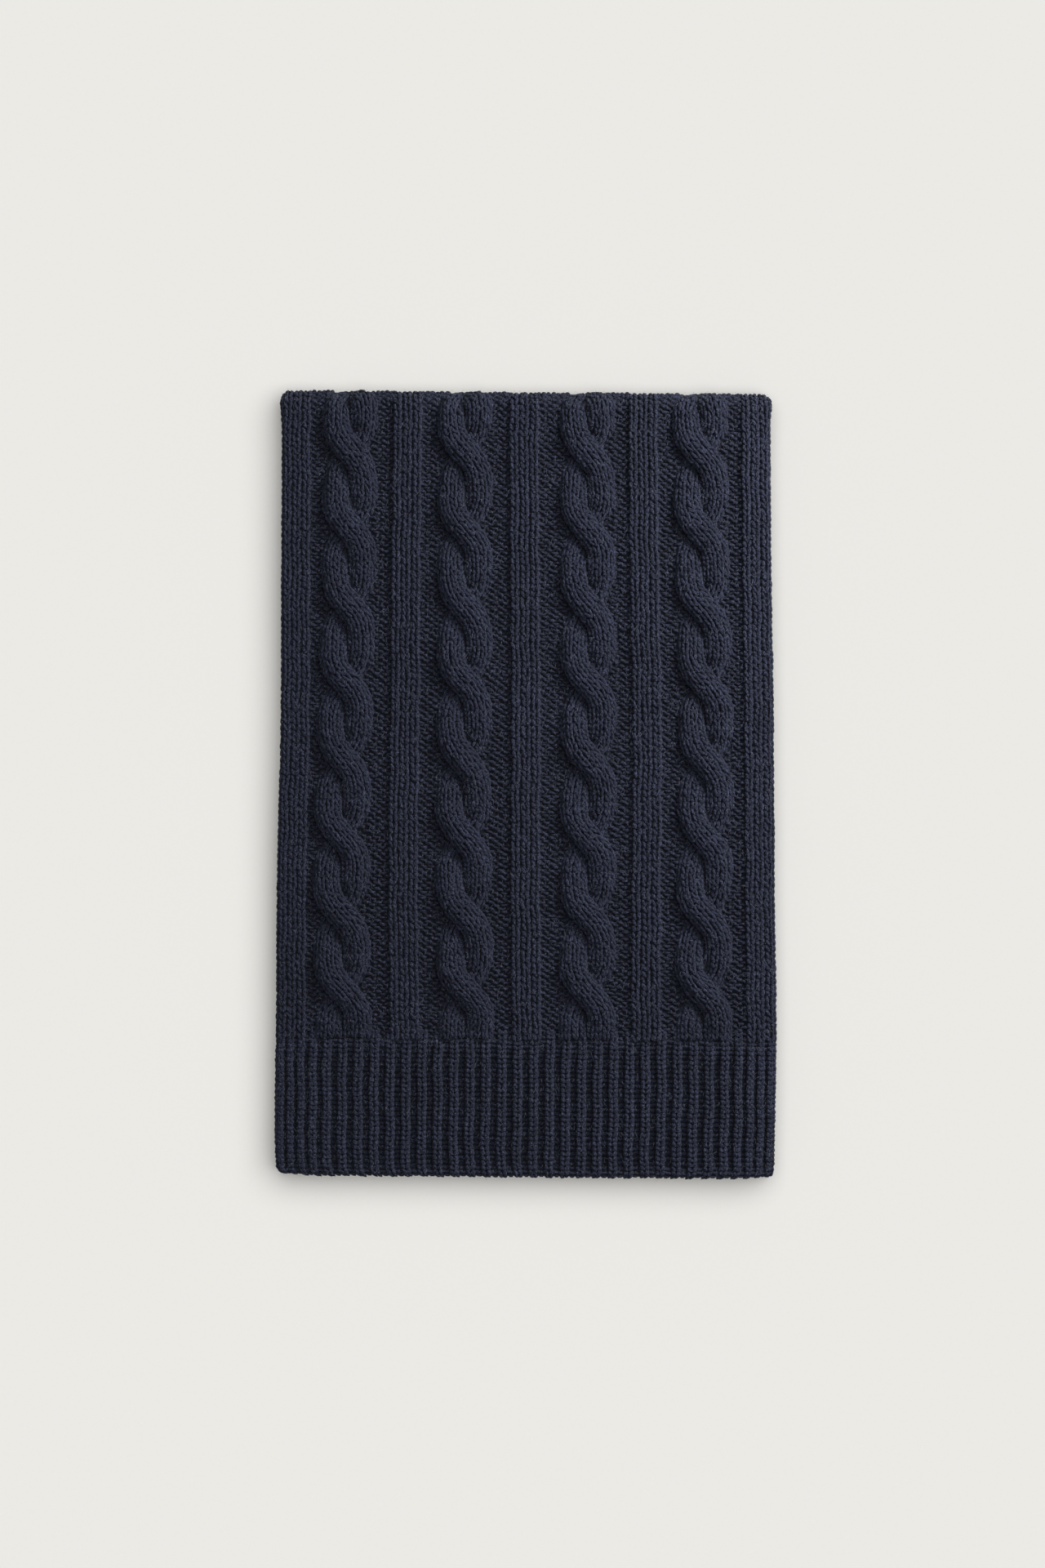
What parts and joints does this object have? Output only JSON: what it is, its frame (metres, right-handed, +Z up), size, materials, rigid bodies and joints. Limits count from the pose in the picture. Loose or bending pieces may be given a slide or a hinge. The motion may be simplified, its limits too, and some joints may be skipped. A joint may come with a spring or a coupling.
{
  "type": "folded cable-knit scarf",
  "caption": "Navy wool scarf in a chunky cable knit with ribbed ends, folded in half twice and laid flat",
  "frame": {"origin": "Middle of the rectangle that the folded scarf covers, on the surface that it lies on", "axes": "+X across the scarf, +Y along its length from the ribbed end towards the outer fold, +Z up out of the stack of layers"},
  "size_m": [0.3022, 0.4738, 0.0258],
  "materials": {
    "knit": "soft, slightly hairy wool yarn, fully matt"
  },
  "bodies": {
    "root": {"front_cabled_panel": "knit", "front_rib_end": "knit", "second_rib_end": "knit", "hidden_layers": "knit", "underside_panel": "knit"}
  },
  "joints": []
}
